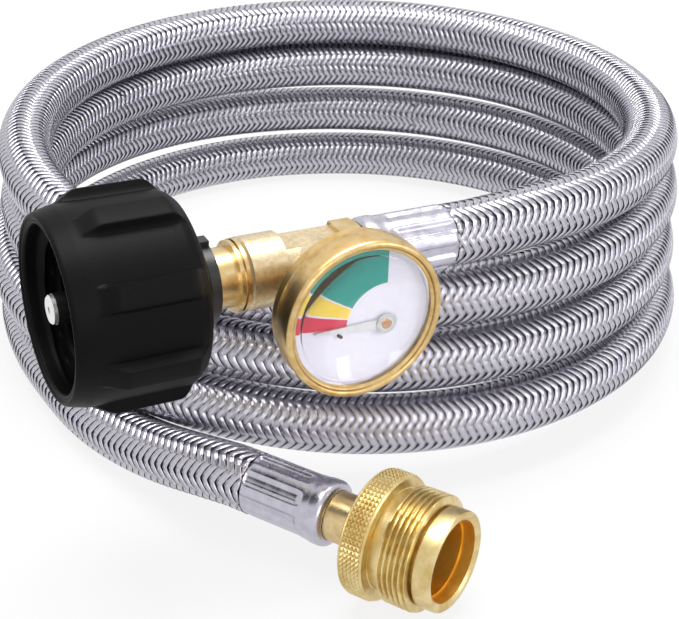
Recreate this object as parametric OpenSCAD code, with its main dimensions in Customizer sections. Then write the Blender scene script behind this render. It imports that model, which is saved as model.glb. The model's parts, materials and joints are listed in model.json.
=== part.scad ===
// Braided propane hose with a cylinder coupling and pressure gauge at one end
// and a knurled outlet fitting at the other, lying in a loose coil.
// Each end fitting is built along its own +X, which starts at the hose's cut end.

/* [Hose] */
// Outer diameter of the braided hose
hose_d = 14; // [12:0.1:15]
// Diameter of the hose where a ferrule grips it
hose_grip_d = 11.9; // [11:0.1:12.5]
// Inner diameter of the hose
hose_bore_d = 7.3; // [6:0.1:8]

/* [Crimped hose ends] */
// Length of a crimped ferrule
ferrule_len = 21; // [16:0.5:28]
// Outer diameter of a ferrule over its crimped flutes
ferrule_d = 14; // [13.6:0.1:16]
// Outer diameter of a ferrule's plain collar
collar_d = 14.8; // [14.2:0.1:17]
// Length of the plain collar
collar_len = 3.6; // [2:0.1:6]
// Number of crimped flutes round a ferrule
flute_count = 8; // [6:1:10]
// Gas passage through both hose inserts
insert_bore_d = 4.4; // [3:0.1:5]

/* [Tee] */
// Width across the flats of the insert's hexagon
hex_af = 13.2; // [12:0.1:16]
// Length of the hexagon
hex_len = 5.2; // [4:0.1:8]
// Diameter of the tee's slim run
tee_d = 13.6; // [12.8:0.1:16]
// Length of the slim run, which carries the gauge branch
tee_run_len = 13.6; // [13:0.1:18]
// Diameter of the tee's round collar
tee_collar_d = 15.5; // [14:0.1:18]
// Length of the round collar
tee_collar_len = 8.3; // [7:0.1:12]
// Height of the gauge branch over the run's axis
branch_h = 12.5; // [11:0.1:16]
// Diameter of the gauge branch
branch_d = 12.6; // [11:0.1:13.4]

/* [Coupling nut] */
// Major diameter of the nut's internal 1-5/16 inch Acme thread
nut_thread_d = 33.4; // [30:0.1:38]
// Wall of the nut between the thread and its smooth outside
nut_wall = 3.3; // [2.6:0.1:5]
// Height of the grip ribs over the smooth outside
rib_h = 2.2; // [1:0.1:4]
// Width of a grip rib
rib_w = 5; // [3:0.1:7]
// Number of grip ribs
rib_count = 8; // [6:1:12]
// Length of the nut
nut_len = 30.5; // [28:0.5:40]
// Thickness of the nut's rear wall
nut_back = 3.5; // [3:0.1:6]
// Travel of the loose nut along the nipple
nut_float = 2; // [1:0.1:3]

/* [Nipple] */
// Diameter of the nipple's shank under the bushing
shank_d = 12.6; // [11:0.1:13.4]
// Diameter of the flange that holds the bushing
flange_d = 22; // [18:0.1:26]
// Diameter of the black nose
nose_d = 6.2; // [5.4:0.1:8]
// Length of nose that stands out of the nipple
nose_len = 15.8; // [10:0.1:16]
// Bore of the flow check's chamber
check_bore_d = 6; // [5.4:0.1:7]
// Travel of the flow check's poppet
check_travel = 1.8; // [1:0.1:2.2]

/* [Gauge] */
// Outer diameter of the gauge case
gauge_d = 32.6; // [31:0.2:40]
// Depth of the gauge case
gauge_depth = 6.4; // [6.2:0.1:10]
// Length of the socket between the branch and the case
socket_len = 6.5; // [5:0.1:10]
// Sideways place of the pointer's arbor on the dial
arbor_x = 5.5; // [5:0.1:6]
// Height of the pointer's arbor on the dial, below its centre
arbor_y = -2.5; // [-3:0.1:-2]
// Length of the pointer from its arbor to the tip
pointer_len = 15.2; // [10:0.1:15.4]
// Angle of the resting pointer, counter-clockwise from the dial's right
pointer_rest = 178; // [176:1:184]
// Swing of the pointer over its full scale
pointer_swing = 88; // [60:1:90]

/* [Outlet fitting] */
// Diameter of the knurled wheel
wheel_d = 28; // [26.5:0.1:34]
// Width of the knurled wheel
wheel_w = 5.8; // [4.5:0.1:9]
// Major diameter of the 1 inch, 20 threads an inch outlet thread
outlet_thread_d = 25.4; // [24:0.1:26]
// Length of the outlet thread
outlet_thread_len = 7; // [5:0.1:10]
// Diameter of the smooth pilot in front of the thread
pilot_d = 21.8; // [20:0.1:23]
// Length of the pilot
pilot_len = 4.6; // [3:0.1:7]
// Bore of the outlet
outlet_bore_d = 16.6; // [14:0.1:17.2]
// Diameter of the stem that the outlet fitting turns on
stem_d = 11.2; // [10:0.1:12]
// Length of stem that shows between the ferrule and the wheel
stem_len = 9; // [6:0.1:12]

/* [Lay of the coil] */
// Turn of the inlet fitting away from the X axis
inlet_yaw = 24;
// Rise of the inlet fitting
inlet_pitch = 2;
// Turn of the outlet fitting away from the X axis
outlet_yaw = -37;
// Rise of the outlet fitting
outlet_pitch = 2;

/* [Hidden] */
$fn = 96;

// Radial clearances
running = 0.05;
loose = 0.3;
// Overlap of a cutter past the face that it cuts
eps = 0.5;

// The coil: its centre on the table, and at each quarter turn from the inlet end down
// the hose centre's radius and its rise over a hose that lies on the table
coil_center = [23, 111.9];
coil_radii = [84.5, 83, 85, 83.5, 84, 85, 84.6, 84, 85.5, 86, 86.6, 88.8, 88.8, 88, 87.2, 86.2];
coil_rises = [56, 50.3, 47, 45.2, 39.2, 36.2, 32.9, 31.1, 23.8, 20.4, 16.6, 17.9, 9, 4.3, 0, 0];
// Angles at which the hose joins and leaves the coil
coil_start = -66;
coil_end = 1260;
// Angles at which the top turn has sunk into the coil's solid, and the last run rises from it
top_turn_end = 450;
outlet_run_start = 1215;

// Where the hose enters the two ferrules, seen from the coil's centre
inlet_exit = [18.6, -84.9, 62.3];
outlet_exit_xy = [-22.3, -106.8];
// The last run of hose from the coil along the table and up to the outlet ferrule, each height
// again a rise over a hose that lies on the table
outlet_run = [
    [-85.7, -14, 0], [-82.5, -28, 0], [-77.4, -42, 0], [-70.1, -56.1, 0],
    [-62.1, -69.7, 0], [-51.8, -81.2, 0.3], [-41.9, -90.8, 2.2], [-32, -99.2, 4.8]
];

hose_r = hose_d / 2;
wheel_r = wheel_d / 2;
stem_end = ferrule_len + stem_len;
wheel_chamfer = 0.6;
outlet_exit = concat(
    outlet_exit_xy,
    [wheel_r * cos(outlet_pitch) - (stem_end + wheel_chamfer) * sin(outlet_pitch)]
);

// Stations along the inlet fitting
hex_x = ferrule_len + 0.2;
tee_x = hex_x + hex_len;
gauge_x = tee_x + tee_run_len / 2;
tee_collar_x = tee_x + tee_run_len;
tee_end = tee_collar_x + tee_collar_len;
spigot_len = 6;
shoulder_x = tee_end + 0.2;
shoulder_len = 2;
shank_x = shoulder_x + shoulder_len;
// How far the bushing stays off the shoulder, and how far it reaches out of the nut
bushing_standoff = 2.7;
bushing_lip = 2.7;
bushing_x = shank_x + nut_float + bushing_standoff;
nut_x = bushing_x + bushing_lip;
nut_end = nut_x + nut_len;
bushing_flange_len = 3;
bushing_end = nut_x + nut_back + 0.1 + bushing_flange_len;
flange_x = bushing_end + 0.1;
flange_len = 3;
nipple_end = flange_x + flange_len + 4.4;
nose_end = nipple_end + nose_len;
// The nose: the sleeve's spigot inside the nipple, and the white tip that caps the sleeve
nose_spigot_r = nose_d / 2 - 0.3;
nose_passage_r = 1.5;
tip_r = nose_d / 2 - 0.2;
tip_mouth_r = nose_d / 2 - 0.5;
tip_len = 1;
tip_chamfer = 0.3;
tip_plug_len = 5;
tip_bore_r = 0.7;

// Stations inside the flow check
chamber_x = shank_x + 2;
chamber_end = nipple_end - 3.5;
seat_len = 1.6;
seat_r = 1.5;
poppet_r = check_bore_d / 2 - 0.5;
guide_len = 1.4;
poppet_end = chamber_end - guide_len - 0.1;
poppet_head = poppet_end - 2;
poppet_tip = chamber_x - 0.6 + check_travel;

// Nut outside
nut_thread_r = nut_thread_d / 2;
nut_r = nut_thread_r + nut_wall;
rim_r = nut_r - 1.2;
// Turn of the ribs from upright as the nut lies
rib_turn = -16;
bushing_r = shank_d / 2 + 2;
// The nut's rear: a cone off the bushing, a sloping face and a shoulder
nut_cone_len = 2;
nut_face_len = 1.4;
nut_shoulder_len = 2.6;
nut_cone_r = nut_r - 5;
nut_shoulder_r = nut_r - 1.5;
// Length of the taper at the nut's mouth, and how deep in the wall a rib is rooted
nut_mouth_len = 4.5;
rib_root_r = nut_thread_r + 0.8;

// Levels inside the gauge, over the tee's axis
case_r = gauge_d / 2;
case_wall = 1;
case_z = branch_h + socket_len;
floor_z = case_z + case_wall;
block_top = floor_z + 1.6;
plate_t = 0.4;
gear_z = block_top + plate_t + 0.15;
gear_t = 0.35;
front_plate_z = gear_z + gear_t + 0.15;
dial_z = case_z + gauge_depth - 1.8;
dial_t = 0.4;
dial_top = dial_z + dial_t;
case_top = case_z + gauge_depth;
pointer_z = dial_top + 0.45;
lens_z = case_top - 0.1;
lens_t = 0.9;
lens_r = case_r - case_wall - running;
bezel_r = case_r + 0.6;
bezel_top = lens_z + lens_t + 1.1;

// Gear train of the gauge: a long-toothed sector drives the pinion on the pointer's arbor
pinion_teeth = 12;
gear_ratio = 8;
pinion_r = 0.9;
sector_r = pinion_r * gear_ratio;
sector_x = arbor_x - pinion_r - sector_r;
tooth_pitch = 360 / (pinion_teeth * gear_ratio);
sector_tail = 5;
link_len = 6.2;
link_pin = [sector_x - sector_tail + 0.5, arbor_y];
// The Bourdon tube's radius, and where the lug at its tip begins, inside the link's far end
tube_r = case_r - case_wall - 3;
lug_from = norm(link_pin - [0, link_len]) - 1.93;

// Stations along the outlet fitting
wheel_x = stem_end;
neck_x = wheel_x + wheel_w;
neck_len = 2.7;
thread_x = neck_x + neck_len;
pilot_x = thread_x + outlet_thread_len;
outlet_end = pilot_x + pilot_len;
socket_end = wheel_x + 7.3;
outlet_floor = socket_end + 2;
seal_len = 1.5;
seal_r = outlet_bore_d / 2 - 0.9;
stem_r = stem_d / 2;
clip_x = wheel_x + 1.9;
o_ring_x = wheel_x + 4.8;

// ---------- frames ----------

// Everything stands where the coil's centre puts it
module laid() {
    translate([coil_center[0], coil_center[1], 0]) children();
}

// +X runs from the cut hose towards the coupling, +Z up
module at_inlet() {
    laid() translate(inlet_exit) rotate([0, -inlet_pitch, 180 + inlet_yaw]) children();
}

// +X runs from the cut hose towards the outlet, +Z up
module at_outlet() {
    laid() translate(outlet_exit) rotate([0, -outlet_pitch, outlet_yaw]) children();
}

// +Z comes out of the dial, +X runs to the dial's right and +Y up
module at_gauge() {
    at_inlet() translate([gauge_x, 0, 0]) rotate([-90, 0, 0]) rotate([0, 0, 180]) children();
}

// ---------- shapes that repeat ----------

// A round bar along +X
module bar(from, to, radius) {
    translate([from, 0, 0]) rotate([0, 90, 0]) cylinder(h = to - from, r = radius);
}

// A cone along +X
module taper(from, to, r_from, r_to) {
    translate([from, 0, 0]) rotate([0, 90, 0]) cylinder(h = to - from, r1 = r_from, r2 = r_to);
}

// A hexagonal bar along +X
module hex_bar(from, to, across_flats) {
    translate([from, 0, 0]) rotate([0, 90, 0]) rotate([0, 0, 30])
        cylinder(h = to - from, r = across_flats / 2 / cos(30), $fn = 6);
}

// A ring of round section about the X axis
module wire_ring(station, ring_r, wire_r) {
    translate([station, 0, 0]) rotate([0, 90, 0])
        rotate_extrude() translate([ring_r, 0]) circle(r = wire_r, $fn = 48);
}

// A flat washer along +X
module washer(from, to, outer, inner) {
    difference() {
        bar(from, to, outer);
        bar(from - eps, to + eps, inner);
    }
}

// A disc along +Z with a hole
module disc(from, to, outer, inner) {
    translate([0, 0, from]) difference() {
        cylinder(h = to - from, r = outer);
        translate([0, 0, -eps]) cylinder(h = to - from + 2 * eps, r = inner);
    }
}

// ---------- the hose ----------

// A smooth value between the knots of a list, at t knots from its start
function knot(list, i) = list[max(0, min(len(list) - 1, i))];
function smooth(list, t) =
    let (i = min(floor(t), len(list) - 2), f = t - i)
    let (a = knot(list, i - 1), b = knot(list, i), c = knot(list, i + 1), d = knot(list, i + 2))
    0.5 * (2 * b + (c - a) * f + (2 * a - 5 * b + 4 * c - d) * f * f
        + (3 * b - a - 3 * c + d) * f * f * f);

// A point of the coiled hose's centre line
function coil_point(angle) =
    let (t = (angle + 90) / 90, r = smooth(coil_radii, t))
    [r * cos(angle), r * sin(angle), hose_r + max(0, smooth(coil_rises, t))];

function unit(v) = v / norm(v);
function heading(yaw, pitch) = [cos(pitch) * cos(yaw), cos(pitch) * sin(yaw), sin(pitch)];

// Rings of points round a route, each square to its own stretch
function ring_direction(route, i, first, last) =
    i == 0 ? first : i == len(route) - 1 ? last : unit(route[i + 1] - route[i - 1]);
function ring_points(center, direction, radius, sides, upward) =
    let (side = unit(cross(direction, upward)), top = cross(side, direction))
    [for (k = [0 : sides - 1])
        center + radius * (cos(k * 360 / sides) * side + sin(k * 360 / sides) * top)];

module tube(route, first, last, radius, sides = 12, upward = [0, 0, 1]) {
    n = len(route);
    points = [
        for (i = [0 : n - 1])
            each ring_points(
                route[i], ring_direction(route, i, first, last), radius, sides, upward
            )
    ];
    walls = [
        for (i = [0 : n - 2], k = [0 : sides - 1])
            let (a = i * sides + k, b = i * sides + (k + 1) % sides)
            each [[a, b, b + sides], [a, b + sides, a + sides]]
    ];
    near_end = [for (k = [1 : sides - 2]) [0, k + 1, k]];
    far_end = [for (k = [1 : sides - 2]) (n - 1) * sides * [1, 1, 1] + [0, k, k + 1]];
    polyhedron(points = points, faces = concat(walls, near_end, far_end));
}

module hose_top_turn() {
    leave = -heading(180 + inlet_yaw, inlet_pitch);
    last_point = coil_point(top_turn_end);
    route = concat(
        [inlet_exit, inlet_exit + 9 * leave],
        [for (angle = [coil_start : 21.5 : top_turn_end - 10]) coil_point(angle)],
        [last_point]
    );
    color("silver") laid()
        tube(route, leave, unit(last_point - coil_point(top_turn_end - 5)), hose_r);
}

module hose_coil() {
    upper = [smooth(coil_radii, 6), hose_r + smooth(coil_rises, 6)];
    lower = [smooth(coil_radii, 14) + 1, hose_r];
    side = [hose_r - 0.5, 0];
    color("silver") laid() {
        for (place = [upper, lower])
            rotate_extrude($fn = 180) translate(place) circle(r = hose_r, $fn = 64);
        rotate_extrude($fn = 180)
            polygon([upper - side, upper + side, lower + side, lower - side]);
    }
}

module hose_outlet_run() {
    arrive = heading(outlet_yaw, outlet_pitch);
    first_point = coil_point(outlet_run_start);
    route = concat(
        [for (angle = [outlet_run_start : 15 : coil_end]) coil_point(angle)],
        [for (place = outlet_run) place + [0, 0, hose_r]],
        [outlet_exit]
    );
    color("silver") laid()
        tube(route, unit(coil_point(outlet_run_start + 5) - first_point), arrive, hose_r);
}

// ---------- crimped hose ends ----------

tail_r = hose_grip_d / 2;
barb_r = hose_bore_d / 2;
ferrule_r = ferrule_d / 2;
neck_r = barb_r + 1;
grip_len = ferrule_len - 1.7;

// The end of the hose that the ferrule grips
module hose_tail() {
    washer(0, grip_len, tail_r, barb_r);
}

module ferrule() {
    mouth_r = min(hose_r, ferrule_r - 0.4);
    flute_r = 1.9;
    flute_from = 3.2;
    flute_to = ferrule_len - collar_len - 3;
    difference() {
        union() {
            taper(0, 0.7, ferrule_r - 0.3, ferrule_r);
            bar(0.7, ferrule_len - collar_len, ferrule_r);
            taper(ferrule_len - collar_len, ferrule_len - collar_len + 0.8, ferrule_r, collar_d / 2);
            bar(ferrule_len - collar_len + 0.8, ferrule_len - 0.6, collar_d / 2);
            taper(ferrule_len - 0.6, ferrule_len, collar_d / 2, collar_d / 2 - 0.6);
        }
        bar(-eps, grip_len, tail_r);
        taper(-0.01, 1, mouth_r, tail_r);
        bar(0, ferrule_len + eps, neck_r);
        for (k = [0 : flute_count - 1])
            rotate([k * 360 / flute_count, 0, 0]) translate([0, 0, ferrule_r + flute_r - 0.45]) {
                bar(flute_from, flute_to, flute_r);
                translate([flute_from, 0, 0]) sphere(r = flute_r);
                translate([flute_to, 0, 0]) sphere(r = flute_r);
            }
    }
}

// The barbed part that both inserts share, with the bore still solid
module barbed_stem() {
    bar(1, grip_len, barb_r - 0.35);
    for (x = [2 : 4 : grip_len - 4]) taper(x, x + 3, barb_r - 0.35, barb_r);
    bar(grip_len - eps, grip_len + eps, barb_r - 0.35);
    bar(grip_len, ferrule_len + 0.2, neck_r);
}

module hose_tail_inlet() {
    color("dimgray") at_inlet() hose_tail();
}

module ferrule_inlet() {
    color("lightsteelblue") at_inlet() ferrule();
}

module hose_insert_inlet() {
    color("goldenrod") at_inlet() difference() {
        union() {
            barbed_stem();
            intersection() {
                hex_bar(hex_x, tee_x, hex_af);
                union() {
                    taper(hex_x, hex_x + 0.8, hex_af / 2, hex_af / 2 + 1.2);
                    bar(hex_x + 0.8, tee_x, hex_af / 2 + 1.2);
                }
            }
            bar(tee_x - eps, tee_x + spigot_len, spigot_r);
        }
        bar(-eps, tee_x + spigot_len + eps, insert_bore_d / 2);
    }
}

module hose_tail_outlet() {
    color("dimgray") at_outlet() hose_tail();
}

module ferrule_outlet() {
    color("lightsteelblue") at_outlet() ferrule();
}

// ---------- tee ----------

spigot_r = min(4.8, tee_d / 2 - 1.6);
nipple_spigot_r = min(5.6, tee_collar_d / 2 - 1.8);
run_bore_r = 2.6;
shank_thread_r = 4;

module tee_body() {
    color("gold") at_inlet() difference() {
        union() {
            intersection() {
                bar(tee_x, tee_collar_x, tee_d / 2);
                // Pads left flat by forging, above and below
                translate([tee_x - eps, -tee_d, -tee_d * 0.42])
                    cube([tee_run_len + 2 * eps, 2 * tee_d, tee_d * 0.84]);
            }
            bar(tee_collar_x - 0.01, tee_end - 0.5, tee_collar_d / 2);
            taper(tee_end - 0.5, tee_end, tee_collar_d / 2, tee_collar_d / 2 - 0.5);
            translate([gauge_x, 0, 0]) rotate([-90, 0, 0]) cylinder(h = branch_h, r = branch_d / 2);
        }
        bar(tee_x - eps, tee_x + spigot_len, spigot_r);
        bar(tee_end - spigot_len - 1, tee_end + eps, nipple_spigot_r);
        bar(tee_x, tee_end, run_bore_r);
        translate([gauge_x, 0, 0]) rotate([-90, 0, 0]) {
            cylinder(h = branch_h + eps, r = 1.4);
            translate([0, 0, branch_h - 7]) cylinder(h = 7 + eps, r = shank_thread_r);
        }
    }
}

// ---------- nipple, flow check and nose ----------

module inlet_nipple() {
    color("gold") at_inlet() difference() {
        union() {
            bar(tee_end - spigot_len - 1, shoulder_x, nipple_spigot_r);
            bar(shoulder_x, shoulder_x + 0.8, tee_collar_d / 2 - 0.1);
            bar(shoulder_x + 0.8, shoulder_x + 1.2, tee_collar_d / 2 - 1);
            bar(shoulder_x + 1.2, shank_x, tee_collar_d / 2 - 0.3);
            bar(shank_x - eps, flange_x + eps, shank_d / 2);
            bar(flange_x, flange_x + flange_len, flange_d / 2);
            bar(flange_x + flange_len - eps, nipple_end, nose_d / 2 + 3.6);
        }
        bar(tee_end - spigot_len - 1 - eps, chamber_x + eps, seat_r);
        taper(chamber_x, chamber_x + seat_len, seat_r, check_bore_d / 2);
        bar(chamber_x + seat_len - 0.01, chamber_end, check_bore_d / 2);
        bar(chamber_end - 0.01, nipple_end + eps, nose_spigot_r);
    }
}

module check_poppet() {
    color("gainsboro") at_inlet() {
        taper(poppet_tip, poppet_tip + 1.2, 1, 1.8);
        bar(poppet_tip + 1.2, poppet_head + 0.01, 1.6);
        bar(poppet_head, poppet_end, poppet_r);
    }
}

// A round wire wound round the poppet, up against its head and clear of the seat by the travel
module check_spring() {
    wire_r = 0.2;
    coil_r = 2.2;
    turns = 4;
    steps = 14;
    from = chamber_x + seat_len + check_travel + wire_r;
    length = poppet_head - wire_r - from;
    route = [
        for (k = [0 : turns * steps])
            let (a = k * 360 / steps)
            [from + length * k / (turns * steps), coil_r * cos(a), coil_r * sin(a)]
    ];
    last = len(route) - 1;
    color("silver") at_inlet()
        tube(
            route, unit(route[1] - route[0]), unit(route[last] - route[last - 1]),
            wire_r, 8, [1, 0, 0]
        );
}

module check_guide() {
    color("gold") at_inlet()
        washer(chamber_end - guide_len, chamber_end, check_bore_d / 2, 1.2);
}

module nose_sleeve() {
    color("black") at_inlet() difference() {
        union() {
            bar(chamber_end, nipple_end + eps, nose_spigot_r);
            bar(nipple_end, nose_end - tip_len, nose_d / 2);
        }
        bar(chamber_end - eps, nose_end, nose_passage_r);
    }
}

module nose_tip() {
    color("white") at_inlet() difference() {
        union() {
            bar(nose_end - tip_plug_len, nose_end - tip_len, nose_passage_r);
            bar(nose_end - tip_len, nose_end - tip_chamfer, tip_r);
            taper(nose_end - tip_chamfer, nose_end, tip_r, tip_mouth_r);
        }
        bar(nose_end - tip_plug_len - eps, nose_end + eps, tip_bore_r);
    }
}

// ---------- coupling nut ----------

module thermal_bushing() {
    tab_h = 1.2;
    tab_len = 2.4;
    color("#202020") at_inlet() difference() {
        union() {
            bar(bushing_x, bushing_end - bushing_flange_len + eps, bushing_r);
            bar(bushing_end - bushing_flange_len, bushing_end, bushing_r + 3.8);
            // Snap tabs behind the nut's rear wall
            for (side = [0, 180])
                rotate([side, 0, 0])
                    translate([nut_x - 0.15 - tab_len, -1.4, bushing_r - 0.6])
                        cube([tab_len, 2.8, tab_h + 0.6]);
        }
        bar(bushing_x - eps, bushing_end + eps, shank_d / 2 + running);
    }
}

module grip_rib() {
    rib_from = nut_x + 4;
    rib_to = nut_end - nut_mouth_len;
    top = nut_r + rib_h;
    translate([0, rib_w / 2, 0]) rotate([90, 0, 0]) linear_extrude(height = rib_w)
        polygon([[rib_from, rib_root_r], [rib_from + 3.5, top], [rib_to - 5, top], [rib_to, rib_root_r]]);
}

module coupling_nut() {
    cavity_x = nut_x + nut_back;
    face_x = nut_x + nut_cone_len;
    shoulder_from = face_x + nut_face_len;
    shoulder_to = shoulder_from + nut_shoulder_len;
    color("#151515") at_inlet() difference() {
        union() {
            taper(nut_x, face_x, bushing_r + 2, nut_cone_r);
            taper(face_x, shoulder_from, nut_cone_r, nut_shoulder_r);
            taper(shoulder_from, shoulder_to, nut_shoulder_r, nut_r);
            bar(shoulder_to, nut_end - nut_mouth_len, nut_r);
            taper(nut_end - nut_mouth_len, nut_end, nut_r, rim_r);
            for (k = [0 : rib_count - 1]) rotate([k * 360 / rib_count + rib_turn, 0, 0]) grip_rib();
        }
        bar(nut_x - eps, cavity_x + eps, bushing_r + running);
        bar(cavity_x, nut_end + eps, nut_thread_r);
    }
}

// ---------- gauge ----------

module gauge_socket() {
    color("gold") at_gauge() difference() {
        union() {
            translate([0, 0, branch_h - 7]) cylinder(h = 7.01, r = shank_thread_r);
            translate([0, 0, branch_h]) cylinder(h = 3, r = 6.2, $fn = 6);
            translate([0, 0, branch_h + 2.9]) cylinder(h = floor_z - branch_h - 2.9, r = 4.4);
            translate([-4, -2.4, floor_z]) cube([8, 4.8, block_top - floor_z]);
            // Arm that the Bourdon tube's root is soldered to
            translate([-1.5, 2.3, floor_z]) cube([3, tube_r - 2.7, block_top - floor_z]);
        }
        translate([0, 0, branch_h - 7 - eps]) cylinder(h = socket_len + 7 + eps, r = 1.2);
    }
}

module gauge_case() {
    color("goldenrod") at_gauge() difference() {
        translate([0, 0, case_z]) cylinder(h = gauge_depth, r = case_r);
        translate([0, 0, floor_z]) cylinder(h = gauge_depth, r = case_r - case_wall);
        translate([0, 0, case_z - eps]) cylinder(h = 3, r = 4.4);
    }
}

// A flattened tube bent round the inside of the case, with the lug for the link at its tip
module bourdon_tube() {
    sweep = 215;
    width = 2.3;
    color("peru") at_gauge() {
        difference() {
            translate([0, 0, floor_z + 0.2]) rotate([0, 0, 90 - sweep])
                rotate_extrude(angle = sweep) translate([tube_r - 0.55, 0]) square([1.1, width]);
            translate([0, 0, floor_z + 0.2 + (width - 1.4) / 2]) rotate([0, 0, 92 - sweep])
                rotate_extrude(angle = sweep - 3) translate([tube_r - 0.2, 0]) square([0.4, 1.4]);
        }
        rotate([0, 0, 90 - sweep]) translate([lug_from, -0.9, gear_z - 0.3])
            cube([tube_r - 0.4 - lug_from, 1.8, gear_t]);
    }
}

plate_x = sector_x - 2;
plate_w = arbor_x + 2.5 - plate_x;
plate_y = arbor_y - 5.5;
plate_h = 11;
pillar_places = [
    [plate_x + 1, plate_y + plate_h - 1], [plate_x + plate_w - 1, plate_y + plate_h - 1],
    [plate_x + 1, plate_y + 1], [plate_x + plate_w - 1, plate_y + 1]
];

module movement_plate(level) {
    difference() {
        translate([plate_x, plate_y, level]) cube([plate_w, plate_h, plate_t]);
        for (x = [arbor_x, sector_x])
            translate([x, arbor_y, level - eps]) cylinder(h = plate_t + 2 * eps, r = 0.45);
    }
}

module movement_back_plate() {
    color("khaki") at_gauge() movement_plate(block_top);
}

module movement_front_plate() {
    color("khaki") at_gauge() movement_plate(front_plate_z);
}

module movement_pillars() {
    color("khaki") at_gauge()
        for (place = pillar_places)
            translate([place[0], place[1], block_top + plate_t])
                cylinder(h = front_plate_z - block_top - plate_t, r = 0.6);
}

module movement_screws() {
    head_h = 0.25;
    color("silver") at_gauge()
        for (place = pillar_places)
            translate([place[0], place[1], front_plate_z + plate_t]) difference() {
                cylinder(h = head_h, r = 0.8);
                translate([-1, -0.12, head_h / 2]) cube([2, 0.24, head_h]);
            }
}

// A tooth that points along +X, with a flank that narrows to its tip
module tooth(root, tip, root_w, tip_w) {
    polygon([[root - 0.1, -root_w / 2], [root - 0.1, root_w / 2],
        [tip, tip_w / 2], [tip, -tip_w / 2]]);
}

module sector_gear() {
    teeth = 10;
    color("khaki") at_gauge() translate([sector_x, arbor_y, 0]) {
        translate([0, 0, gear_z]) linear_extrude(height = gear_t) {
            intersection() {
                circle(r = sector_r - 0.2);
                polygon([[0, -0.6], [0, 0.6], [10, 3.6], [10, -3.6]]);
            }
            for (k = [0 : teeth - 1])
                rotate((k - (teeth - 1) / 2) * tooth_pitch)
                    tooth(sector_r - 0.2, sector_r + 0.13, 0.22, 0.1);
            translate([-sector_tail, -0.5]) square([sector_tail, 1]);
        }
        translate([0, 0, block_top + 0.05]) cylinder(h = front_plate_z + plate_t - block_top, r = 0.4);
        translate([-sector_tail + 0.5, 0, gear_z]) cylinder(h = gear_t + 0.5, r = 0.3);
    }
}

// The link hangs on the sector's tail and ends over the Bourdon tube's lug
module movement_link() {
    link_z = gear_z + gear_t + 0.05;
    color("khaki") at_gauge() translate([link_pin[0], link_pin[1], link_z])
        difference() {
            union() {
                cylinder(h = 0.3, r = 0.75);
                translate([-0.35, -link_len, 0]) cube([0.7, link_len, 0.3]);
                translate([0, -link_len, 0]) cylinder(h = 0.3, r = 0.7);
            }
            translate([0, 0, -eps]) cylinder(h = 0.3 + 2 * eps, r = 0.35);
            translate([0, -link_len, -eps]) cylinder(h = 0.3 + 2 * eps, r = 0.3);
        }
}

module pointer_arbor() {
    color("silver") at_gauge() translate([arbor_x, arbor_y, 0]) {
        translate([0, 0, block_top - 0.3]) cylinder(h = pointer_z + 0.35 - block_top + 0.3, r = 0.4);
        translate([0, 0, gear_z]) linear_extrude(height = gear_t) {
            circle(r = 0.7);
            for (k = [0 : pinion_teeth - 1])
                rotate(180 + k * 360 / pinion_teeth)
                    tooth(0.7, pinion_r + 0.13, 0.2, 0.08);
        }
    }
}

module dial_plate() {
    color("white") at_gauge() difference() {
        translate([0, 0, dial_z]) cylinder(h = dial_t, r = case_r - case_wall);
        translate([arbor_x, arbor_y, dial_z - eps]) cylinder(h = dial_t + 2 * eps, r = 0.9);
        translate([stop_place[0], stop_place[1], dial_z - eps])
            cylinder(h = dial_t + 2 * eps, r = stop_r);
    }
}

// The stop pin stands just under the resting pointer
stop_r = 0.35;
stop_place = [
    arbor_x + 9.8 * cos(pointer_rest + 8.2),
    arbor_y + 9.8 * sin(pointer_rest + 8.2)
];

module pointer() {
    color("whitesmoke") at_gauge() translate([arbor_x, arbor_y, 0]) difference() {
        union() {
            translate([0, 0, pointer_z]) cylinder(h = 0.55, r = 1.7);
            rotate([0, 0, pointer_rest]) translate([0, 0, pointer_z]) linear_extrude(height = 0.3)
                polygon([[0, -1.1], [pointer_len, -0.2], [pointer_len, 0.2], [0, 1.1]]);
        }
        translate([0, 0, pointer_z - eps]) cylinder(h = 0.35 + eps, r = 0.4);
    }
}

module stop_pin() {
    color("saddlebrown") at_gauge() translate([stop_place[0], stop_place[1], dial_z])
        cylinder(h = pointer_z + 0.45 - dial_z, r = stop_r);
}

module dial_spacer() {
    color("silver") at_gauge() disc(dial_top, lens_z, lens_r, lens_r - 0.6);
}

module gauge_lens() {
    color("lightcyan", 0.4) at_gauge() translate([0, 0, lens_z]) cylinder(h = lens_t, r = lens_r);
}

// A spun ring over the case's edge, rolled over the lens
module bezel_ring() {
    skirt_z = case_z + 2.6;
    roll_r = 0.7;
    color("goldenrod") at_gauge() difference() {
        union() {
            translate([0, 0, skirt_z]) cylinder(h = bezel_top - roll_r - skirt_z, r = bezel_r);
            translate([0, 0, bezel_top - roll_r]) rotate_extrude()
                translate([bezel_r - roll_r, 0]) circle(r = roll_r, $fn = 48);
            translate([0, 0, bezel_top - roll_r]) cylinder(h = roll_r, r = bezel_r - roll_r);
        }
        translate([0, 0, skirt_z - eps]) cylinder(h = case_top - skirt_z + eps, r = case_r);
        translate([0, 0, case_top - 0.01]) cylinder(h = lens_z + lens_t - case_top + 0.02, r = lens_r);
        translate([0, 0, lens_z]) cylinder(h = 3, r = lens_r - 0.5);
        translate([0, 0, lens_z + lens_t]) cylinder(h = bezel_top - lens_z - lens_t + 0.01,
            r1 = lens_r - 0.5, r2 = bezel_r - roll_r - 0.1);
    }
}

// ---------- outlet fitting ----------

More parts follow.
